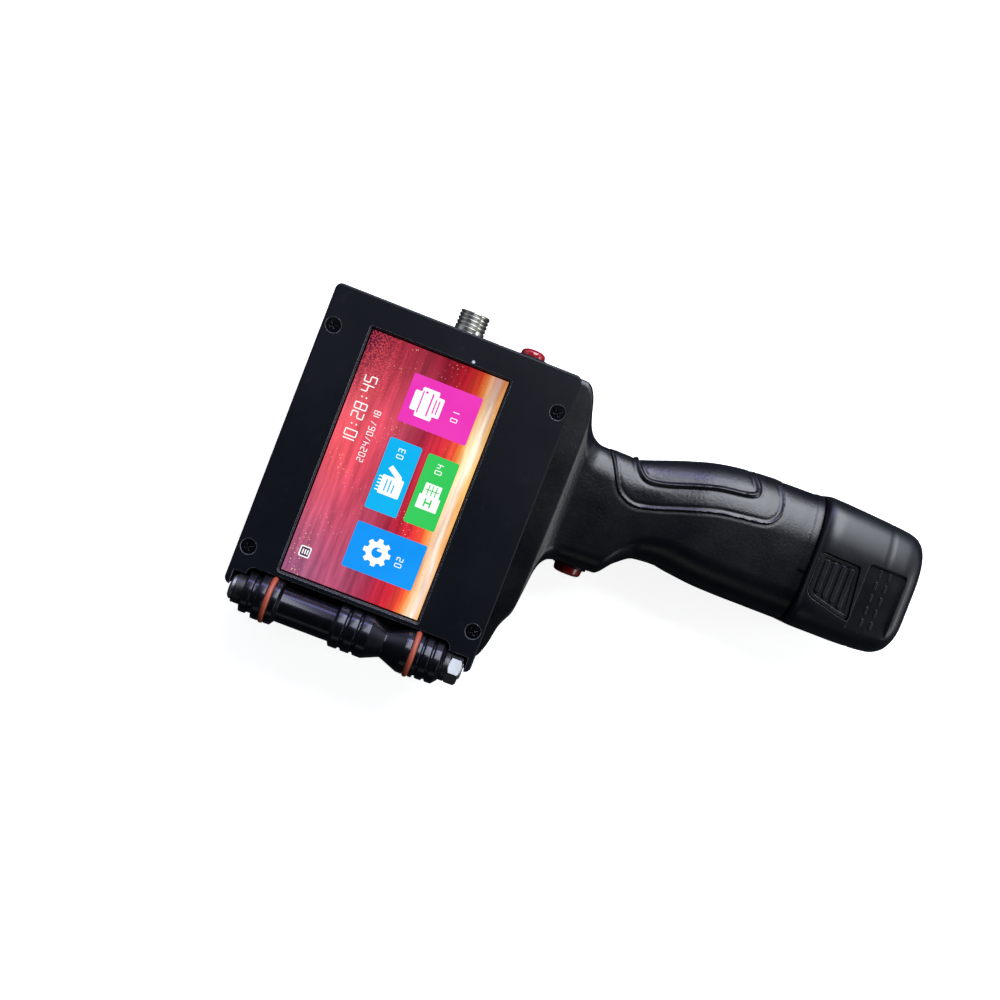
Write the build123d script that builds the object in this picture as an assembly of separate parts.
from build123d import *
import math
import os

# A handheld date code inkjet printer lying on its back. The origin is the centre of the case's
# back face, +Z comes out of the screen, +X runs from the print nose to the rear face and +Y runs
# from the handle side to the top of the screen. All sizes are in millimetres.

# Case
case_length = 118.0
case_width = 97.0
case_depth = 52.0
case_wall = 2.0
case_corner = 2.5
room_corner = 1.0
front_plate = 2.0
edge_round = 0.8

# Screen
active_length = 95.04
active_width = 53.86
screen_shift = 3.5
window_margin = 0.5
window_bevel = 0.5
gasket_lap_x = 0.55
gasket_lap_y = 3.6
gasket_thickness = 0.5
board_drop = 14.0
glass_thickness = 1.2
module_thickness = 4.1

# Cover screws
screw_inset_x = 15.5
screw_inset_y = 4.3
screw_head_radius = 2.9
screw_radius = 1.5
post_radius = 3.5
post_length = 14.0

# Guide roller on the nose
roller_radius = 9.0
roller_reach = 9.5
roller_below_face = 1.0
roller_end_high = 39.9
roller_end_low = -38.0
axle_radius = 3.0
bush_radius = 4.5
bush_length = 8.0
bore_radius = 3.6
bracket_sheet = 1.2
guard_sheet = 1.0
ear_high = 42.2
ear_low = -38.8
ear_radius = 5.5
nut_length = 4.8
nut_flats = 10.0
bolt_head_radius = 4.6
bolt_head_height = 1.9
ring_section = 1.1
ring_high = 30.5
ring_low = -26.0
notch_low = -38.4
notch_high = 41.6
notch_round = 3.0
nose_step = 33.0

# Encoder
encoder_wheel_radius = 4.5
encoder_wheel_low = 6.0
encoder_wheel_width = 5.0
encoder_body_radius = 3.6
encoder_body_length = 12.0
encoder_shaft_radius = 1.0
plain_radius = 6.7

# Far guide roller
guide_radius = 4.0
guide_waist = 2.4
guide_half_length = 38.0
guide_rim_width = 10.0
guide_pin_radius = 1.5
guide_height = 4.6

# Ink cartridge and its stall
cartridge_length = 62.0
cartridge_width = 68.0
cartridge_thickness = 24.0
cartridge_nose_gap = 1.0
cartridge_low = -33.5
cartridge_back = 3.3
nozzle_height = -15.0
snout_width = 21.0
snout_setback = 10.0
snout_reach = 6.8
nozzle_sheet = 0.4
nozzle_swath = 12.7
stall_wall = 1.6
stall_gap = 0.9
spring_room = 10.4

# Cartridge cover
cover_gap = 0.2
cover_wing = 2.0
cover_wing_thickness = 1.0

# Connector on the rear face
connector_y = -2.5
connector_radius = 6.0
connector_length = 10.0
connector_flange_radius = 7.25
connector_flange = 1.6
connector_bore = 4.6
pin_radius = 0.6

# Power button on the rear face
power_y = -29.1
power_cap_radius = 4.9
power_bezel_radius = 7.1
power_bezel_height = 2.4
power_cap_height = 5.4
power_travel = 1.5

# Handle
handle_wall = 2.5
flange_half_width = 20.0
trigger_drop = 23.2
trigger_cap_radius = 5.7
trigger_collar_radius = 7.0
trigger_collar_height = 1.0
trigger_cap_height = 4.2
trigger_travel = 2.5
trigger_face = -8.4
handle_length = 105.5
socket_drop = 62.5
cavity_drop = 56.5
overmould = 1.0

# Battery
tower_length_x = 39.0
tower_length_z = 37.0
tower_corner = 10.4
tower_wall = 1.2
tower_gap = 0.5
battery_centre = 26.0
battery_seam = 0.3
battery_length = 42.0
base_depth = 15.0
raise_start = 20.6
raise_end = 36.0
latch_rib_pitch = 3.4
cell_radius = 9.0
cell_length = 65.0
latch_travel = 2.0
latch_thickness = 3.0
latch_gap = 0.35

run_gap = 0.05
slide_gap = 0.1

# Places worked out from the sizes above
half_length = case_length / 2
half_width = case_width / 2
mid_depth = case_depth / 2
plate_back = case_depth - front_plate
low_side = -half_width
trigger_y = low_side - trigger_drop
handle_end = low_side - handle_length
socket_end = low_side - socket_drop
cavity_end = low_side - cavity_drop
battery_end = handle_end - battery_length
base_seam = battery_end + base_depth
nose_x = -half_length
rear_x = half_length
screw_x = half_length - screw_inset_x
screw_y = half_width - screw_inset_y
axle_x = nose_x - roller_reach + roller_radius
axle_z = case_depth - roller_below_face
tangent_x = axle_x - roller_radius
notch_x = axle_x + roller_radius + 0.4
relief_x = axle_x + 6.2
window_half_x = active_length / 2 + window_margin
window_half_y = active_width / 2 + window_margin
glass_half_x = window_half_x + gasket_lap_x
glass_half_y = window_half_y + gasket_lap_y
glass_top = plate_back - gasket_thickness
module_top = glass_top - glass_thickness
module_back = module_top - module_thickness
cartridge_front = nose_x + case_wall + cartridge_nose_gap
cartridge_rear = cartridge_front + cartridge_length
cartridge_high = cartridge_low + cartridge_width
cartridge_top = cartridge_back + cartridge_thickness
cartridge_mid = cartridge_back + cartridge_thickness / 2
snout_thickness = cartridge_thickness - snout_setback
stall_rear = cartridge_rear + spring_room + stall_wall
stall_low = cartridge_low - stall_gap - stall_wall
stall_high = cartridge_high + stall_gap + stall_wall
stall_top = cartridge_top + stall_gap + stall_wall
bay_low = cartridge_low - 0.8
bay_front = nose_x + case_wall + cover_wing
bay_rear = stall_rear - cover_wing
wing_back = case_wall + slide_gap
wing_top = wing_back + cover_wing_thickness
board_back = plate_back - board_drop
board_top = board_back + 1.6
board_half_y = 39.0
board_hole_y = 37.2
board_hole_x = 41.5
encoder_x = axle_x + 2.0
encoder_z = axle_z - math.sqrt((plain_radius + encoder_wheel_radius + 0.3) ** 2 - 2.0 ** 2)
guide_x = tangent_x + guide_radius
tower_top = socket_end - 1.0
latch_outer = case_depth - 1.2
power_cap_back = rear_x - 7.0
power_switch_face = power_cap_back - power_travel - 3.5
trigger_cap_back = trigger_face + 5.5
trigger_switch_face = trigger_cap_back + trigger_travel + 2.0
pocket_floor = latch_outer - latch_thickness - latch_travel - 0.8


def block(x_span, y_span, z_span):
    size = [high - low for low, high in (x_span, y_span, z_span)]
    centre = [(high + low) / 2 for low, high in (x_span, y_span, z_span)]
    return Pos(*centre) * Box(*size)


def rod_x(y, z, radius, low, high):
    return Pos((low + high) / 2, y, z) * Rot(0, 90, 0) * Cylinder(radius, high - low)


def rod_y(x, z, radius, low, high):
    return Pos(x, (low + high) / 2, z) * Rot(90, 0, 0) * Cylinder(radius, high - low)


def rod_z(x, y, radius, low, high):
    return Pos(x, y, (low + high) / 2) * Cylinder(radius, high - low)


def plate(length, width, corner, low, high, centre=(0, 0)):
    outline = Pos(centre[0], centre[1], low) * RectangleRounded(length, width, corner)
    return extrude(outline, high - low)


def slab(points, low, high):
    outline = make_face(Polyline([(x, y, low) for x, y in points], close=True))
    return extrude(outline, high - low, dir=(0, 0, 1))


def turned_y(profile, x, z):
    """A body turned about a line along Y, from points of place along Y and radius."""
    points = [(x + radius, y, z) for y, radius in profile]
    face = make_face(Polyline(points, close=True))
    return revolve(face, Axis((x, 0, z), (0, 1, 0)))


def turned_x(profile, y, z):
    """A body turned about a line along X, from points of place along X and radius."""
    points = [(x, y + radius, z) for x, radius in profile]
    face = make_face(Polyline(points, close=True))
    return revolve(face, Axis((0, y, z), (1, 0, 0)))


def hex_x(y, z, flats, low, high):
    outline = Plane(origin=(low, y, z), x_dir=(0, 1, 0), z_dir=(1, 0, 0)) * RegularPolygon(
        flats / 2, 6, major_radius=False
    )
    return extrude(outline, high - low)


def coil(radius, wire, length, turns, place):
    """An open compression spring along local Z, moved to its place."""
    rise = length - 2 * wire
    path = Helix(rise / turns, rise, radius)
    start = Plane(path @ 0, z_dir=path % 0)
    wound = sweep(start * Circle(wire), path)
    return place * Pos(0, 0, wire) * wound


def four_corners(x, y):
    return [(sx * x, sy * y) for sx in (-1, 1) for sy in (-1, 1)]


# Case

def rear_housing():
    outer = plate(case_length, case_width, case_corner, 0, plate_back)
    outer = fillet(outer.faces().sort_by(Axis.Z)[0].edges(), edge_round)
    room = plate(
        case_length - 2 * case_wall, case_width - 2 * case_wall, room_corner, case_wall, plate_back + 1
    )
    body = outer - room
    for x, y in four_corners(screw_x, screw_y):
        post = rod_z(x, y, post_radius, plate_back - post_length, plate_back)
        body += post & outer
    for x, y in four_corners(screw_x, screw_y):
        body -= rod_z(x, y, screw_radius, plate_back - post_length + 1.5, plate_back + 1)
    # the nose is stepped back above the cartridge, where the roller bracket sits
    inner_y = half_width - case_wall
    body -= block((nose_x - 1, nose_x + case_wall + 1), (-inner_y, inner_y), (nose_step, case_depth))
    # window for the print head's snout
    snout_half = snout_width / 2 + 1.0
    body -= block(
        (nose_x - 1, nose_x + case_wall + 0.01),
        (nozzle_height - snout_half, nozzle_height + snout_half),
        (case_wall, cartridge_mid + snout_thickness / 2 + 1.2),
    )
    # opening for the sliding cartridge cover, and the slot its wings leave by
    body -= block((bay_front, bay_rear), (bay_low, half_width + 1), (-1, case_wall + 0.01))
    body -= block(
        (bay_front - cover_wing, bay_rear + cover_wing),
        (half_width - case_wall - room_corner - 0.1, half_width + 1),
        (case_wall, wing_top + cover_gap),
    )
    body -= rod_x(connector_y, mid_depth, connector_radius - 0.2, rear_x - 5, rear_x + 1)
    body -= rod_x(power_y, mid_depth, power_cap_radius + 1.1, rear_x - 5, rear_x + 1)
    for x, z in flange_screw_places():
        body -= rod_y(x, z, screw_radius, -half_width - 1, -half_width + case_wall + 1)
    return body


def front_cover():
    cover = plate(case_length, case_width, case_corner, plate_back, case_depth)
    cover = fillet(cover.faces().sort_by(Axis.Z)[-1].edges(), edge_round)
    notch = plate(
        2 * (notch_x - nose_x), notch_high - notch_low, notch_round, plate_back - 1, case_depth + 1,
        (nose_x, (notch_high + notch_low) / 2),
    )
    cover -= notch
    relief_y = half_width - 2.3
    cover -= block((nose_x - 1, relief_x), (-relief_y, relief_y), (plate_back - 1, case_depth + 1))
    window = plate(2 * window_half_x, 2 * window_half_y, 0.6, plate_back - 1, case_depth + 1,
                   (0, screen_shift))
    cover -= window
    rim = [
        edge for edge in cover.edges().filter_by(Plane.XY).group_by(Axis.Z)[-1]
        if abs(edge.center().X) < window_half_x + 0.1
        and abs(edge.center().Y - screen_shift) < window_half_y + 0.1
    ]
    cover = chamfer(rim, window_bevel)
    for x, y in four_corners(screw_x, screw_y):
        cover -= countersunk(x, y, 0.1)
    cover -= rod_z(*light_place(), 0.6, plate_back - 1, case_depth + 1)
    return cover


def light_place():
    return window_half_x + 1.5, -8.5


def countersunk(x, y, gap):
    """The space of one countersunk screw in the plate; gap is added to its radius."""
    head = Pos(x, y, case_depth - 0.1 - 0.8) * Cone(screw_radius + gap, screw_head_radius + gap, 1.6)
    top = rod_z(x, y, screw_head_radius + gap, case_depth - 0.1, case_depth + 1)
    shank = rod_z(x, y, screw_radius + gap, plate_back - 12, case_depth - 1.7)
    return head + shank + top if gap else head + shank


def cover_screws():
    cross = (block((-1.6, 1.6), (-0.3, 0.3), (-1.2, 0.2)) + block((-0.3, 0.3), (-1.6, 1.6), (-1.2, 0.2)))
    screws = []
    for x, y in four_corners(screw_x, screw_y):
        screws.append(countersunk(x, y, 0) - Pos(x, y, case_depth - 0.1) * Rot(0, 0, 30) * cross)
    return Compound(screws)


def cartridge_cover():
    outer = block(
        (bay_front + cover_gap, bay_rear - cover_gap), (bay_low + cover_gap, half_width), (0, case_wall)
    )
    inner_y = (bay_low + 2, half_width - case_wall - 0.5)
    for low, high in ((bay_front - cover_wing + 0.3, bay_front + 3),
                      (bay_rear - 3, bay_rear + cover_wing - 0.3)):
        outer += block((low, high), inner_y, (wing_back, wing_top))
        root = (low + 2, high) if low < 0 else (low, high - 2)
        outer += block((root[0] + 0.4, root[1] - 0.4), inner_y, (case_wall - 0.5, wing_back + 0.5))
    # thumb grooves
    middle = (bay_front + bay_rear) / 2
    for step in range(6):
        y = half_width - 9 - 3 * step
        outer -= block((middle - 13, middle + 13), (y - 0.7, y + 0.7), (-1, 0.7))
    return outer


# Screen

def touch_glass():
    return plate(2 * glass_half_x, 2 * glass_half_y, 1.0, module_top, glass_top, (0, screen_shift))


def screen_gasket():
    centre = (0, screen_shift)
    ring = plate(2 * glass_half_x, 2 * glass_half_y, 1.0, glass_top, plate_back, centre)
    return ring - plate(2 * window_half_x, 2 * window_half_y, 0.6, glass_top - 1, plate_back + 1, centre)


def lcd_module():
    frame = plate(2 * glass_half_x - 0.4, 2 * glass_half_y - 0.4, 1.0, module_back, module_top,
                  (0, screen_shift))
    tail = block((-14, 14), (screen_shift - glass_half_y + 4, screen_shift - glass_half_y + 22),
                 (module_back - 1.2, module_back + 0.1))
    return frame + tail


def status_light():
    x, y = light_place()
    return rod_z(x, y, 0.6, plate_back - 1.0, case_depth - 0.1)


# Electronics

def main_board():
    board = block((-45, 47), (-board_half_y, board_half_y), (board_back, board_top))
    for x, y in four_corners(board_hole_x, board_hole_y):
        board -= rod_z(x, y, 1.3, board_back - 1, board_top + 1)
    chips = ((-20, 10, 14, 14, 1.4), (8, 14, 10, 10, 1.2), (8, -12, 16, 6, 1.4), (-24, -20, 8, 20, 3.2),
             (34, 20, 12, 8, 4.0), (30, -24, 9, 9, 2.6))
    for x, y, length, width, height in chips:
        board += block((x - length / 2, x + length / 2), (y - width / 2, y + width / 2),
                       (board_top - 0.1, board_top + height))
    return board


def board_standoffs():
    posts = []
    for x, y in four_corners(board_hole_x, board_hole_y):
        outline = Pos(x, y, board_top) * RegularPolygon(2.2, 6)
        post = extrude(outline, plate_back - board_top)
        posts.append(post - rod_z(x, y, 1.25, board_top - 1, board_top + 7))
    return Compound(posts)


def board_screws():
    screws = []
    for x, y in four_corners(board_hole_x, board_hole_y):
        shank = rod_z(x, y, 1.25, board_back - 0.1, board_top + 6)
        screws.append(rod_z(x, y, 2.2, board_back - 1.6, board_back) + shank)
    return Compound(screws)


def buzzer():
    case = rod_z(-2, -28, 5.5, board_top, board_top + 5)
    return case - rod_z(-2, -28, 0.9, board_top + 3, board_top + 6)


def contact_board():
    front = nose_x + case_wall
    board = block((front, front + 0.6), (-1, 31), (cartridge_mid - 8.8, cartridge_mid + 9.2))
    for row in range(2):
        for step in range(8):
            pad_y = 2 + 3.8 * step
            pad_z = cartridge_mid - 3.3 + 7 * row
            board += block((front + 0.5, front + 0.8), (pad_y - 0.9, pad_y + 0.9),
                           (pad_z - 1.2, pad_z + 1.2))
    return board


# Print engine

def cartridge_stall():
    low_z = wing_top + cover_gap
    front = nose_x + case_wall + 0.1
    shell = block((front, stall_rear), (stall_low, stall_high), (low_z, stall_top))
    room = block(
        (front - 1, stall_rear - stall_wall), (stall_low + stall_wall, stall_high - stall_wall),
        (low_z - 1, stall_top - stall_wall),
    )
    foot_rear = block((stall_rear - 0.1, stall_rear + 7), (-30, 30), (case_wall, case_wall + 2.4))
    foot_low = block((-50, 10), (stall_low - 5, stall_low + 0.1), (case_wall, case_wall + 2.4))
    vents = [block((x - 3, x + 3), (-22, 24), (stall_top - 3, stall_top + 1)) for x in (-40, -28, -16, -4)]
    stall = shell - room + foot_rear + foot_low
    for vent in vents:
        stall -= vent
    return stall


def ink_cartridge():
    body = block((cartridge_front, cartridge_rear), (cartridge_low, cartridge_high),
                 (cartridge_back, cartridge_top))
    body = fillet(body.edges().filter_by(Axis.X), 2.0)
    body = chamfer(body.faces().sort_by(Axis.X)[-1].edges(), 0.8)
    snout = block(
        (nose_x - snout_reach, cartridge_front + 1),
        (nozzle_height - snout_width / 2, nozzle_height + snout_width / 2),
        (cartridge_mid - snout_thickness / 2, cartridge_mid + snout_thickness / 2),
    )
    snout = fillet(snout.edges().filter_by(Axis.X), 1.0)
    return body + snout


def nozzle_plate():
    face = nose_x - snout_reach
    half = nozzle_swath / 2 + 1.6
    plate_body = block((face - nozzle_sheet, face), (nozzle_height - half, nozzle_height + half),
                       (cartridge_mid - 4, cartridge_mid + 4))
    for z in (cartridge_mid - 1.0, cartridge_mid + 1.0):
        plate_body -= block((face - 1, face - nozzle_sheet + 0.15),
                            (nozzle_height - nozzle_swath / 2, nozzle_height + nozzle_swath / 2),
                            (z - 0.2, z + 0.2))
    return plate_body


def stall_spring():
    rear = stall_rear - stall_wall
    sag = rear - cartridge_rear
    half_chord = 14.0
    radius = (half_chord ** 2 + sag ** 2) / (2 * sag)
    centre = cartridge_rear + radius
    low, high = cartridge_mid - 7, cartridge_mid + 7
    ring = rod_z(centre, 0, radius, low, high) - rod_z(centre, 0, radius - 0.6, low - 1, high + 1)
    return ring & block((cartridge_rear - 1, rear), (-half_chord, half_chord), (low, high))


# Guide roller

def roller_bracket():
    inner_y = half_width - case_wall
    floor = block((nose_x, notch_x + guard_sheet), (-inner_y, inner_y), (nose_step, nose_step + bracket_sheet))
    guard = block((notch_x, notch_x + guard_sheet), (-inner_y, inner_y), (nose_step, plate_back))
    bracket = floor + guard
    for low in (ear_high, ear_low - bracket_sheet):
        span = (low, low + bracket_sheet)
        ear = block((axle_x - 4.5, notch_x + 0.1), span, (nose_step, axle_z - 4.5))
        ear += block((axle_x - ear_radius, axle_x + ear_radius), span, (axle_z - 8, axle_z))
        ear += rod_y(axle_x, axle_z, ear_radius, *span)
        bracket += ear
    return bracket - rod_y(axle_x, axle_z, axle_radius, -60, 60)


def axle_bolt():
    end = ear_low - bracket_sheet - nut_length - 0.8
    seat = ear_high + bracket_sheet
    shank = rod_y(axle_x, axle_z, axle_radius, end, seat + 0.5)
    shank = chamfer(shank.faces().sort_by(Axis.Y)[0].edges(), 0.5)
    head = turned_y(
        ((seat, 0), (seat, bolt_head_radius), (seat + 1.1, bolt_head_radius),
         (seat + bolt_head_height, bolt_head_radius - 1.0), (seat + bolt_head_height, 0)),
        axle_x, axle_z,
    )
    key = Plane(origin=(axle_x, seat + bolt_head_height + 0.1, axle_z), x_dir=(1, 0, 0), z_dir=(0, -1, 0))
    return shank + head - extrude(key * RegularPolygon(1.5, 6), 1.3)


def axle_nut():
    high = ear_low - bracket_sheet
    flat = Plane(origin=(axle_x, high - nut_length, axle_z), x_dir=(1, 0, 0), z_dir=(0, 1, 0))
    nut = extrude(flat * Rot(0, 0, 20) * RegularPolygon(nut_flats / 2, 6, major_radius=False), nut_length)
    corner = nut_flats / 2 / math.cos(math.pi / 6)
    round_off = turned_y(
        ((high - nut_length, 0), (high - nut_length, corner - 0.8), (high - nut_length + 0.9, corner + 0.3),
         (high - 0.9, corner + 0.3), (high, corner - 0.8), (high, 0)),
        axle_x, axle_z,
    )
    return (nut & round_off) - rod_y(axle_x, axle_z, axle_radius, high - nut_length - 1, high + 1)


def roller_spacers():
    pieces = []
    for low, high in ((roller_end_high + 0.2, ear_high), (ear_low, roller_end_low - 0.2)):
        ring = rod_y(axle_x, axle_z, ear_radius, low, high)
        pieces.append(ring - rod_y(axle_x, axle_z, axle_radius, low - 1, high + 1))
    return Compound(pieces)


def ring_groove(place, side):
    """Groove for one O-ring; side is the radius of the rib on each side of it."""
    half = ring_section + 0.1
    floor = roller_radius - 2 * ring_section - 0.05
    return [(place + half, side), (place + half, floor), (place - half, floor), (place - half, side)]


def roller_body():
    profile = [
        (roller_end_high, bush_radius), (roller_end_high, 6.2), (39.4, 7.7), (36.9, 7.7), (36.4, 7.0),
        (34.9, 7.0), (34.4, 8.6),
        *ring_groove(ring_high, 8.6),
        (27.0, 8.5), (25.8, plain_radius), (5.0, plain_radius),
        (4.3, 8.0), (4.0, 8.2), (1.0, 8.2), (0.5, 7.4), (-0.2, 7.4),
        (-0.7, 8.2), (-3.8, 8.2), (-4.3, 7.4), (-4.9, 7.4), (-5.4, 8.2), (-8.6, 8.2),
        (-14.8, 5.5), (-15.2, 5.5), (-22.5, 8.3),
        *ring_groove(ring_low, 8.4),
        (-28.6, 8.4), (-29.0, 7.3), (-29.5, 7.3), (-29.9, 8.1), (-32.3, 8.1), (-32.8, 7.3),
        (-33.4, 7.3), (-33.8, 8.0), (-36.2, 8.0), (-37.4, 6.6), (roller_end_low, 6.0),
        (roller_end_low, bush_radius), (roller_end_low + bush_length, bush_radius),
        (roller_end_low + bush_length, bore_radius), (roller_end_high - bush_length, bore_radius),
        (roller_end_high - bush_length, bush_radius),
    ]
    return turned_y(profile, axle_x, axle_z)


def roller_bushes():
    bushes = []
    for low in (roller_end_low, roller_end_high - bush_length):
        tube = rod_y(axle_x, axle_z, bush_radius, low, low + bush_length)
        bushes.append(tube - rod_y(axle_x, axle_z, axle_radius + run_gap, low - 1, low + bush_length + 1))
    return Compound(bushes)


def o_ring(place):
    ring = Torus(roller_radius - ring_section, ring_section)
    return Pos(axle_x, place, axle_z) * Rot(90, 0, 0) * ring


# Encoder

def encoder_wheel():
    low = encoder_wheel_low
    high = low + encoder_wheel_width
    wheel = rod_y(encoder_x, encoder_z, encoder_wheel_radius, low, high)
    wheel = chamfer(wheel.edges(), 0.4)
    return wheel + rod_y(encoder_x, encoder_z, encoder_shaft_radius, high - 0.1, high + 6)


def encoder_body():
    low = encoder_wheel_low + encoder_wheel_width + 1.0
    high = low + encoder_body_length
    can = rod_y(encoder_x, encoder_z, encoder_body_radius, low, high)
    foot = block((encoder_x - 3.0, encoder_x + 3.0), (low + 1, high - 1),
                 (nose_step + bracket_sheet, encoder_z - 1))
    return can + foot - rod_y(encoder_x, encoder_z, encoder_shaft_radius + run_gap, low - 1, low + 6)


# Far guide roller

def guide_bracket():
    ear_y = guide_half_length + 0.5
    strip = block((nose_x - 1.2, nose_x), (-ear_y - 1.6, ear_y + 1.6), (1.2, 7.2))
    for side in (-1, 1):
        span = sorted((side * ear_y, side * (ear_y + 1.6)))
        strip += block((guide_x - 2.6, nose_x), span, (1.2, guide_height + 3.4))
    return strip - rod_y(guide_x, guide_height, guide_pin_radius + run_gap, -60, 60)


def guide_roller():
    inner = guide_half_length - guide_rim_width
    profile = [
        (-guide_half_length - 2.0, 0), (-guide_half_length - 2.0, guide_pin_radius),
        (-guide_half_length, guide_pin_radius), (-guide_half_length, guide_radius - 0.5),
        (-guide_half_length + 0.5, guide_radius), (-inner - 1.6, guide_radius), (-inner, guide_waist),
        (inner, guide_waist), (inner + 1.6, guide_radius), (guide_half_length - 0.5, guide_radius),
        (guide_half_length, guide_radius - 0.5), (guide_half_length, guide_pin_radius),
        (guide_half_length + 2.0, guide_pin_radius), (guide_half_length + 2.0, 0),
    ]
    return turned_y(profile, guide_x, guide_height)


# Connector

def connector_shell():
    end = rear_x + connector_length
    profile = [
        (rear_x - 10, 0), (rear_x - 10, connector_radius - 0.2), (rear_x, connector_radius - 0.2),
        (rear_x, connector_flange_radius), (rear_x + connector_flange - 0.3, connector_flange_radius),
        (rear_x + connector_flange, connector_flange_radius - 0.3),
        (rear_x + connector_flange, connector_radius), (end, connector_radius), (end, 0),
    ]
    shell = turned_x(profile, connector_y, mid_depth)
    return shell - rod_x(connector_y, mid_depth, connector_bore, rear_x - 11, end + 1)


def connector_nut():
    face = rear_x - case_wall
    return hex_x(connector_y, mid_depth, 15.0, face - 3.0, face) - rod_x(
        connector_y, mid_depth, connector_radius - 0.2, face - 4, face + 1
    )


def connector_pin_places():
    return [(connector_y + 2.4 * math.cos(turn), mid_depth + 2.4 * math.sin(turn))
            for turn in (math.radians(45 + 90 * step) for step in range(4))]


def connector_insert():
    insert = rod_x(connector_y, mid_depth, connector_bore, rear_x - 9, rear_x + connector_length - 3.2)
    for y, z in connector_pin_places():
        insert -= rod_x(y, z, pin_radius, rear_x - 10, rear_x + connector_length)
    return insert


def connector_pins():
    return Compound([rod_x(y, z, pin_radius, rear_x - 13, rear_x + connector_length - 0.9)
                     for y, z in connector_pin_places()])


# Power button

def power_bezel():
    barrel = power_cap_radius + 1.1
    lip = rear_x + power_bezel_height
    profile = [
        (power_switch_face, 0), (power_switch_face, barrel), (rear_x, barrel), (rear_x, power_bezel_radius),
        (rear_x + 0.8, power_bezel_radius), (lip, power_cap_radius + 0.8), (lip, 0),
    ]
    bezel = turned_x(profile, power_y, mid_depth)
    return bezel - rod_x(power_y, mid_depth, power_cap_radius + slide_gap, rear_x - 13, lip + 1)


def power_cap():
    tip = rear_x + power_cap_height
    r = power_cap_radius
    return turned_x(
        ((power_cap_back, 0), (power_cap_back, r), (tip - 1.7, r), (tip - 0.8, r - 0.5), (tip - 0.2, r - 1.9),
         (tip, r - 3.6), (tip, 0)),
        power_y, mid_depth,
    )


def power_switch():
    back = power_switch_face
    body = block((back - 8, back), (power_y - 6.5, power_y + 6.5), (mid_depth - 6.5, mid_depth + 6.5))
    for y in (power_y - 4, power_y + 4):
        body += block((back - 12, back - 7.9), (y - 1.4, y + 1.4), (mid_depth - 0.4, mid_depth + 0.4))
    return body


def power_spring():
    length = power_cap_back - power_switch_face - 0.1
    return coil(3.2, 0.3, length, 4, Pos(power_switch_face + 0.05, power_y, mid_depth) * Rot(0, 90, 0))


# Handle

# Each station: distance below the case, front and rear edges, half thickness, corner radius
upper_stations = (
    (5.5, -13.5, 49.0, 19.0, 7.0),
    (10.5, -10.2, 43.8, 18.2, 7.0),
    (15.5, trigger_face, 38.9, 17.5, 7.0),
    (31.5, trigger_face, 38.6, 17.5, 7.0),
)
lower_stations = (
    upper_stations[-1],
    (38.0, -1.5, 40.4, 17.6, 8.0),
    (44.5, 2.7, 42.8, 18.2, 10.0),
    (52.5, 3.1, 45.6, 19.2, 12.0),
    (61.5, 1.9, 48.2, 20.5, 13.0),
    (71.5, 1.0, 49.9, 21.2, 13.0),
    (82.5, 0.8, 50.8, 21.6, 13.5),
    (93.5, 0.8, 51.2, 21.8, 13.5),
    (handle_length, 0.8, 51.4, 22.0, 13.5),
)


def section(station, grow=0.0):
    drop, front, rear, half_z, corner = station
    middle = Plane(origin=((front + rear) / 2, low_side - drop, mid_depth), x_dir=(1, 0, 0), z_dir=(0, -1, 0))
    round_corner = max(corner + grow, 1.0)
    return middle * RectangleRounded(rear - front + 2 * grow, 2 * (half_z + grow), round_corner)


def grip_body():
    return loft([section(s) for s in upper_stations], ruled=True) + lower_grip(0.0)


def lower_grip(grow):
    return loft([section(s, grow) for s in lower_stations])


def flange():
    top = low_side
    outline = (
        (nose_x + 6.0, top), (nose_x + 6.0, top - 0.6), (nose_x + 12.0, top - 3.0),
        (nose_x + 20.5, top - 4.4), (nose_x + 25.5, top - 7.6), (-16.0, top - 9.2), (46.0, top - 9.2),
        (rear_x - 6.0, top - 7.2), (rear_x - 1.4, top - 5.2), (rear_x, top - 2.8), (rear_x, top),
    )
    return slab(outline, mid_depth - flange_half_width, mid_depth + flange_half_width)


def flange_screw_places():
    return [(x, mid_depth + z) for x in (nose_x + 32.0, rear_x - 6.0) for z in (-13.0, 13.0)]


def handle_screw_places():
    places = ((32.0, 13.0), (-3.0, 13.5), (21.5, 35.5), (10.0, 55.5))
    return [(x, low_side - drop) for x, drop in places]


def handle_solid():
    body = grip_body() + flange()
    room_low = upper_stations[0][1] + handle_wall
    flange_room = block((room_low, 46.0), (low_side - 11.5, low_side - handle_wall),
                        (mid_depth - 16, mid_depth + 16))
    inner_stations = [s for s in lower_stations if s[0] <= 52.5]
    inner = loft([section(s, -handle_wall) for s in upper_stations[1:]], ruled=True)
    inner += loft([section(s, -handle_wall) for s in inner_stations])
    bosses = None
    for x, y in handle_screw_places():
        boss = rod_z(x, y, 3.4, mid_depth - 17.4, mid_depth + 17.4)
        bosses = boss if bosses is None else bosses + boss
    body -= (flange_room + inner) - bosses
    socket = plate_y(tower_length_x + 2 * tower_gap, tower_length_z + 2 * tower_gap, tower_corner + tower_gap,
                     handle_end - 1, socket_end)
    body -= socket
    body -= block((battery_centre - 10, battery_centre + 10), (socket_end - 1, cavity_end + 8),
                  (mid_depth - 6, mid_depth + 6))
    body -= rod_x(trigger_y, mid_depth, trigger_cap_radius + 0.8, trigger_face - 2, trigger_face + 12)
    for x, y in handle_screw_places():
        body -= rod_z(x, y, 1.4, mid_depth - 20, mid_depth + 12)
        body -= rod_z(x, y, 2.9, -5, mid_depth - 12)
    for x, z in flange_screw_places():
        body -= rod_y(x, z, screw_radius, -half_width - 6, -half_width + 1)
    return body


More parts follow.
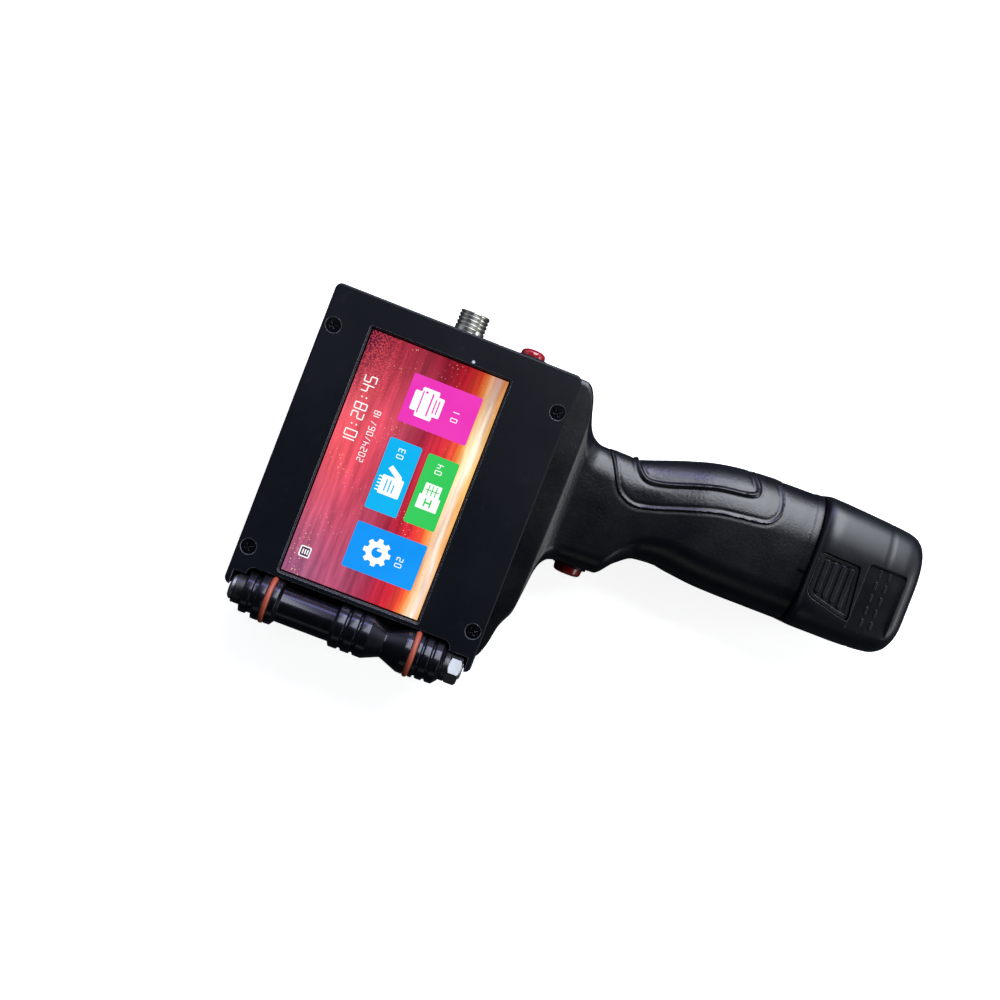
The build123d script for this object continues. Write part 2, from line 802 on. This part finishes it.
def plate_y(length_x, length_z, corner, low, high):
    """A rounded block along Y on the battery's axis."""
    outline = Plane(origin=(battery_centre, high, mid_depth), x_dir=(1, 0, 0), z_dir=(0, -1, 0))
    return extrude(outline * RectangleRounded(length_x, length_z, corner), high - low)


def handle_halves():
    whole = handle_solid()
    reach = (handle_end - 10, low_side + 10)
    left = whole & block((-80, 80), reach, (mid_depth, 2 * case_depth))
    right = whole & block((-80, 80), reach, (-case_depth, mid_depth))
    return left, right


def grip_overmould():
    skin = lower_grip(overmould) - lower_grip(0.0)
    return skin & block((battery_centre, 80), (low_side - 85.5, low_side - 33.5), (-20, 2 * case_depth))


def handle_screws():
    screws = []
    for x, y in handle_screw_places():
        seat = mid_depth - 12
        screws.append(rod_z(x, y, 2.7, seat - 2.2, seat) + rod_z(x, y, 1.4, seat - 0.1, mid_depth + 10))
    return Compound(screws)


def flange_screws():
    screws = []
    for x, z in flange_screw_places():
        seat = -half_width + case_wall
        screws.append(rod_y(x, z, 2.8, seat, seat + 2.0) + rod_y(x, z, screw_radius, seat - 7, seat + 0.1))
    return Compound(screws)


# Trigger

def trigger_collar():
    barrel = trigger_cap_radius + 0.8
    face = trigger_face
    profile = [
        (face - trigger_collar_height, 0), (face - trigger_collar_height, trigger_collar_radius - 0.4),
        (face - trigger_collar_height + 0.4, trigger_collar_radius), (face, trigger_collar_radius),
        (face, barrel), (trigger_switch_face, barrel), (trigger_switch_face, 0),
    ]
    collar = turned_x(profile, trigger_y, mid_depth)
    return collar - rod_x(trigger_y, mid_depth, trigger_cap_radius + slide_gap, face - 3, face + 11)


def trigger_cap():
    tip = trigger_face - trigger_cap_height
    r = trigger_cap_radius
    return turned_x(
        ((tip, 0), (tip, r - 2.6), (tip + 0.25, r - 1.0), (tip + 0.9, r - 0.2), (tip + 1.2, r),
         (trigger_cap_back, r), (trigger_cap_back, 0)),
        trigger_y, mid_depth,
    )


def trigger_switch():
    back = trigger_switch_face
    body = block((back, back + 12), (trigger_y - 6.3, trigger_y + 6.3), (mid_depth - 6.3, mid_depth + 6.3))
    for y in (trigger_y - 4, trigger_y, trigger_y + 4):
        body += block((back + 11.9, back + 16), (y - 1.2, y + 1.2), (mid_depth - 0.4, mid_depth + 0.4))
    return body


def trigger_spring():
    length = trigger_switch_face - trigger_cap_back - 0.1
    return coil(3.6, 0.35, length, 4, Pos(trigger_cap_back + 0.05, trigger_y, mid_depth) * Rot(0, 90, 0))


# Battery

def terminal_block():
    body = block((battery_centre - 10, battery_centre + 10), (socket_end, cavity_end + 1),
                 (mid_depth - 6, mid_depth + 6))
    for x in (-6, 0, 6):
        body -= block((battery_centre + x - 0.5, battery_centre + x + 0.5), (socket_end - 1, socket_end + 4),
                      (mid_depth - 3.5, mid_depth + 3.5))
    return body


battery_stations = (
    (handle_length + battery_seam, 0.8, 52.4, mid_depth - 1.8, 12.0),
    (handle_length + 7.0, 0.4, 52.2, mid_depth, 12.0),
    (handle_length + 18.0, 0.4, 51.6, mid_depth, 12.0),
    (low_side - base_seam, 0.6, 51.0, mid_depth, 12.0),
)

# Points of the latch pad: place along X and distance below the handle's end
latch_corners = ((31.0, 2.4), (30.6, 17.6), (10.2, 20.0), (11.0, 15.4), (13.8, 4.0), (15.6, 2.4))
latch_outline = [(x, handle_end - drop) for x, drop in latch_corners]


def side_pocket(gap, low, high):
    face = make_face(Polyline([(x, y, low) for x, y in latch_outline], close=True))
    return extrude(offset(face, gap), high - low, dir=(0, 0, 1))


def cell_room(low, high, shrink=0.0):
    wall = 2 * tower_wall + 2 * shrink
    return plate_y(tower_length_x - wall, tower_length_z - wall, tower_corner - tower_wall, low, high)


def side_steps(body):
    """Below the latch, the front part of each side lies lower than the raised back part."""
    step = block((-5, 33.4), (handle_end - raise_end, handle_end - raise_start),
                 (latch_outer, 2 * case_depth))
    return body - step - mirror(step, Plane.XY.offset(mid_depth))


def battery_housing():
    tower = plate_y(tower_length_x, tower_length_z, tower_corner, handle_end - 4, tower_top)
    body = loft([section(station) for station in battery_stations], ruled=True)
    body += tower
    body -= cell_room(base_seam - 1, tower_top - 1.5)
    upper = side_pocket(latch_gap, pocket_floor, case_depth + 5)
    body -= upper
    body -= mirror(upper, Plane.XY.offset(mid_depth))
    return side_steps(body)


def battery_base():
    low_stations = (
        battery_stations[-1],
        (low_side - battery_end - 6.0, 1.6, 50.0, mid_depth, 12.0),
        (low_side - battery_end - 2.0, 3.6, 48.2, mid_depth - 1.6, 11.0),
        (low_side - battery_end, 8.0, 44.0, mid_depth - 5.5, 8.0),
    )
    body = loft([section(station) for station in low_stations], ruled=True)
    body -= cell_room(base_seam - 4, base_seam + 1, 1.0)
    return side_steps(body)


def battery_cells():
    spread = cell_radius + 0.05
    lift = tower_length_z / 2 - tower_wall - cell_radius - 0.1
    low = tower_top - 2.0 - cell_length
    cells = []
    for x, z in ((0, lift), (-spread, -lift), (spread, -lift)):
        cell = rod_y(battery_centre + x, mid_depth + z, cell_radius, low, low + cell_length)
        cells.append(chamfer(cell.edges(), 0.5))
    return Compound(cells)


def battery_contacts():
    plates = []
    for x in (-6, 0, 6):
        plates.append(block((battery_centre + x - 2, battery_centre + x + 2), (tower_top, tower_top + 0.5),
                            (mid_depth - 4, mid_depth + 4)))
    return Compound(plates)


def battery_latch():
    low = latch_outer - latch_thickness
    pad = slab(latch_outline, low, latch_outer)
    for step in range(4):
        y = handle_end - 5.2 - latch_rib_pitch * step
        pad += block((15.0, 29.0), (y - 0.9, y + 0.9), (latch_outer - 0.1, latch_outer + 0.8))
    return pad


def latch_spring_upper():
    lift = latch_outer - latch_thickness - pocket_floor
    return coil(3.0, 0.3, lift - 0.1, 2, Pos(22.0, handle_end - 11.0, pocket_floor + 0.05))


def mirrored(solid):
    return mirror(solid, Plane.XY.offset(mid_depth))


def build_nodes():
    left, right = handle_halves()
    nodes = {
        "rear_housing": rear_housing(),
        "front_cover": front_cover(),
        "cover_screws": cover_screws(),
        "cartridge_cover": cartridge_cover(),
        "touch_glass": touch_glass(),
        "screen_gasket": screen_gasket(),
        "lcd_module": lcd_module(),
        "status_light": status_light(),
        "main_board": main_board(),
        "board_standoffs": board_standoffs(),
        "board_screws": board_screws(),
        "buzzer": buzzer(),
        "contact_board": contact_board(),
        "cartridge_stall": cartridge_stall(),
        "ink_cartridge": ink_cartridge(),
        "nozzle_plate": nozzle_plate(),
        "stall_spring": stall_spring(),
        "roller_bracket": roller_bracket(),
        "axle_bolt": axle_bolt(),
        "axle_nut": axle_nut(),
        "roller_spacers": roller_spacers(),
        "roller_body": roller_body(),
        "lower_o_ring": o_ring(ring_low),
        "upper_o_ring": o_ring(ring_high),
        "roller_bushes": roller_bushes(),
        "encoder_wheel": encoder_wheel(),
        "encoder_body": encoder_body(),
        "guide_bracket": guide_bracket(),
        "guide_roller": guide_roller(),
        "connector_shell": connector_shell(),
        "connector_nut": connector_nut(),
        "connector_insert": connector_insert(),
        "connector_pins": connector_pins(),
        "power_bezel": power_bezel(),
        "power_cap": power_cap(),
        "power_switch": power_switch(),
        "power_spring": power_spring(),
        "handle_left_shell": left,
        "handle_right_shell": right,
        "grip_overmould": grip_overmould(),
        "handle_screws": handle_screws(),
        "flange_screws": flange_screws(),
        "trigger_collar": trigger_collar(),
        "trigger_cap": trigger_cap(),
        "trigger_switch": trigger_switch(),
        "trigger_spring": trigger_spring(),
        "terminal_block": terminal_block(),
        "battery_housing": battery_housing(),
        "battery_base": battery_base(),
        "battery_cells": battery_cells(),
        "battery_contacts": battery_contacts(),
        "battery_latch_left": battery_latch(),
        "battery_latch_right": mirrored(battery_latch()),
        "latch_spring_left": latch_spring_upper(),
        "latch_spring_right": mirrored(latch_spring_upper()),
    }
    return nodes


os.makedirs("parts", exist_ok=True)
for node_name, solid in build_nodes().items():
    export_step(solid, f"parts/{node_name}.step")
